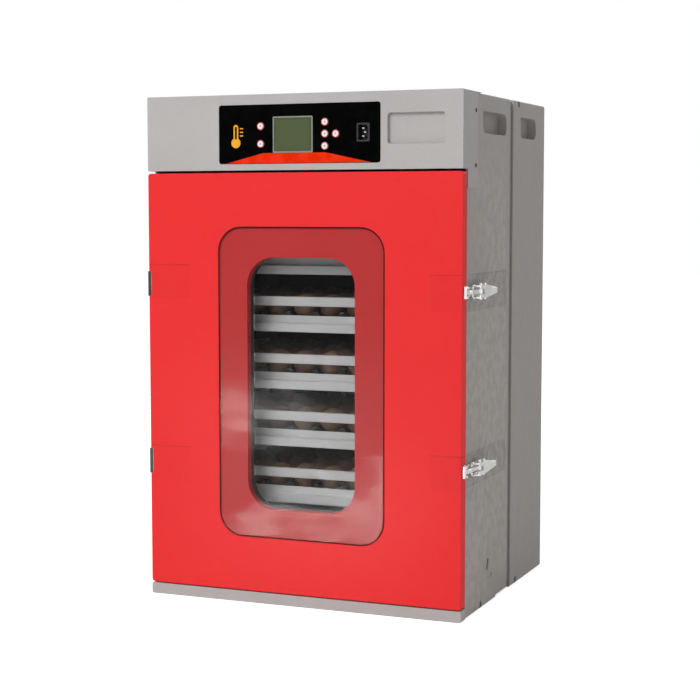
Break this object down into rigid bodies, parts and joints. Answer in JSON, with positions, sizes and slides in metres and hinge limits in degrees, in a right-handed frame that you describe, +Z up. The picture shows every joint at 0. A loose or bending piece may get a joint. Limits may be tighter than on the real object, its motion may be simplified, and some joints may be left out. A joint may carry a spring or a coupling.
{
  "type": "egg incubator",
  "caption": "Cabinet egg incubator with a windowed swing door, sliding roller trays of eggs, control header with display and keys, side toggle latches and a fan.",
  "frame": {"origin": "centre of the base footprint between door front and cabinet back, on the standing surface", "axes": "+Z up, +X to the right of someone facing the door, -Y out of the door front"},
  "size_m": [0.6044, 0.4823, 0.87],
  "materials": {
    "cabinet_plastic": "fine matt texture",
    "header_plastic": "moulded fine leather texture",
    "chamber_steel": "satin light grey",
    "dark_plastic": "matt dark grey",
    "foam": "rigid insulation foam",
    "door_red": "satin red paint",
    "surround_red": "satin dark red",
    "panel_black": "satin black",
    "accent": "printed orange red and amber",
    "bezel_grey": "light grey green",
    "lcd": "olive liquid crystal",
    "glass": "clear float glass",
    "gasket_black": "soft black",
    "bright_metal": "bright zinc",
    "chrome_metal": "polished",
    "brass_pins": "tinned contacts",
    "circuit": "green circuit board",
    "button_white": "white cap with a red ring",
    "tray_plastic": "light grey",
    "eggshell": "brown eggshell",
    "basin_plastic": "grey",
    "fan_black": "black"
  },
  "bodies": {
    "cabinet": {"front_shell": "cabinet_plastic", "rear_shell": "cabinet_plastic", "seam_band": "dark_plastic", "hand_grips": "cabinet_plastic", "inner_liner": "chamber_steel", "insulation": "foam", "base_sill": "cabinet_plastic", "header_cover": "header_plastic", "header_screws": "bright_metal", "control_panel": "panel_black", "panel_graphics": "accent", "display_bezel": "bezel_grey", "display_lens": "lcd", "power_inlet": "panel_black", "inlet_pins": "brass_pins", "control_board": "circuit", "cabinet_hinges": "bright_metal", "latch_bases": "bright_metal", "tray_runners": "chamber_steel", "fan_frame": "fan_black", "fan_guard": "bright_metal", "heater_ring": "bright_metal"},
    "door": {"door_skin": "door_red", "door_foam": "foam", "door_liner": "cabinet_plastic", "window_gasket": "gasket_black", "outer_pane": "glass", "window_surround": "surround_red", "plug_frame": "dark_plastic", "inner_pane": "glass", "door_gasket": "gasket_black", "door_hinges": "bright_metal", "latch_keepers": "bright_metal"},
    "drawer_1": {"tray_1": "tray_plastic", "tray_rollers_1": "tray_plastic", "eggs_1": "eggshell"},
    "drawer_2": {"tray_2": "tray_plastic", "tray_rollers_2": "tray_plastic", "eggs_2": "eggshell"},
    "drawer_3": {"tray_3": "tray_plastic", "tray_rollers_3": "tray_plastic", "eggs_3": "eggshell"},
    "drawer_4": {"tray_4": "tray_plastic", "tray_rollers_4": "tray_plastic", "eggs_4": "eggshell"},
    "drawer_5": {"tray_5": "tray_plastic", "tray_rollers_5": "tray_plastic", "eggs_5": "eggshell"},
    "basin": {"water_basin": "basin_plastic"},
    "body_button_menu": {"button_menu": "button_white"},
    "body_button_light": {"button_light": "button_white"},
    "body_button_up": {"button_up": "button_white"},
    "body_button_set": {"button_set": "button_white"},
    "body_button_turn": {"button_turn": "button_white"},
    "body_button_down": {"button_down": "button_white"},
    "latch_lever_upper": {"lever_upper": "chrome_metal"},
    "latch_hook_upper": {"hook_upper": "chrome_metal"},
    "latch_lever_lower": {"lever_lower": "chrome_metal"},
    "latch_hook_lower": {"hook_lower": "chrome_metal"},
    "rotor": {"fan_rotor": "fan_black"}
  },
  "joints": [
    {"name": "door_swing", "type": "hinge", "parent": "cabinet", "child": "door", "pos_m": [-0.292, -0.215, 0.4], "axis": [0, 0, -1], "range_deg": [0, 150]},
    {"name": "drawer_1_slide", "type": "slide", "parent": "cabinet", "child": "drawer_1", "axis": [0, -1, 0], "range_m": [0, 0.225]},
    {"name": "drawer_2_slide", "type": "slide", "parent": "cabinet", "child": "drawer_2", "axis": [0, -1, 0], "range_m": [0, 0.225]},
    {"name": "drawer_3_slide", "type": "slide", "parent": "cabinet", "child": "drawer_3", "axis": [0, -1, 0], "range_m": [0, 0.225]},
    {"name": "drawer_4_slide", "type": "slide", "parent": "cabinet", "child": "drawer_4", "axis": [0, -1, 0], "range_m": [0, 0.225]},
    {"name": "drawer_5_slide", "type": "slide", "parent": "cabinet", "child": "drawer_5", "axis": [0, -1, 0], "range_m": [0, 0.225]},
    {"name": "basin_slide", "type": "slide", "parent": "cabinet", "child": "basin", "axis": [0, -1, 0], "range_m": [0, 0.225]},
    {"name": "button_menu_press", "type": "slide", "parent": "cabinet", "child": "body_button_menu", "axis": [0, 1, 0], "range_m": [0, 0.0012], "stiffness_N_per_m": 800},
    {"name": "button_light_press", "type": "slide", "parent": "cabinet", "child": "body_button_light", "axis": [0, 1, 0], "range_m": [0, 0.0012], "stiffness_N_per_m": 800},
    {"name": "button_up_press", "type": "slide", "parent": "cabinet", "child": "body_button_up", "axis": [0, 1, 0], "range_m": [0, 0.0012], "stiffness_N_per_m": 800},
    {"name": "button_set_press", "type": "slide", "parent": "cabinet", "child": "body_button_set", "axis": [0, 1, 0], "range_m": [0, 0.0012], "stiffness_N_per_m": 800},
    {"name": "button_turn_press", "type": "slide", "parent": "cabinet", "child": "body_button_turn", "axis": [0, 1, 0], "range_m": [0, 0.0012], "stiffness_N_per_m": 800},
    {"name": "button_down_press", "type": "slide", "parent": "cabinet", "child": "body_button_down", "axis": [0, 1, 0], "range_m": [0, 0.0012], "stiffness_N_per_m": 800},
    {"name": "latch_lever_upper_swing", "type": "hinge", "parent": "cabinet", "child": "latch_lever_upper", "pos_m": [0.2915, -0.2, 0.543], "axis": [0, 0, -1], "range_deg": [0, 100]},
    {"name": "latch_hook_upper_swing", "type": "hinge", "parent": "latch_lever_upper", "child": "latch_hook_upper", "pos_m": [0.2975, -0.178, 0.543], "axis": [0, 0, 1], "range_deg": [0, 121]},
    {"name": "latch_lever_lower_swing", "type": "hinge", "parent": "cabinet", "child": "latch_lever_lower", "pos_m": [0.2915, -0.2, 0.25], "axis": [0, 0, -1], "range_deg": [0, 100]},
    {"name": "latch_hook_lower_swing", "type": "hinge", "parent": "latch_lever_lower", "child": "latch_hook_lower", "pos_m": [0.2975, -0.178, 0.25], "axis": [0, 0, 1], "range_deg": [0, 121]},
    {"name": "fan_spin", "type": "hinge", "parent": "cabinet", "child": "rotor", "pos_m": [0, 0.1785, 0.33], "axis": [0, 1, 0], "continuous": true}
  ],
  "couplings": [
    {"joint": "drawer_1_slide", "follows": "door_swing", "m_per_rad": 0.085},
    {"joint": "drawer_2_slide", "follows": "door_swing", "m_per_rad": 0.085},
    {"joint": "drawer_3_slide", "follows": "door_swing", "m_per_rad": 0.085},
    {"joint": "drawer_4_slide", "follows": "door_swing", "m_per_rad": 0.085},
    {"joint": "drawer_5_slide", "follows": "door_swing", "m_per_rad": 0.085},
    {"joint": "basin_slide", "follows": "door_swing", "m_per_rad": 0.085},
    {"joint": "latch_hook_upper_swing", "follows": "latch_lever_upper_swing", "ratio": 1.2},
    {"joint": "latch_hook_lower_swing", "follows": "latch_lever_lower_swing", "ratio": 1.2}
  ]
}
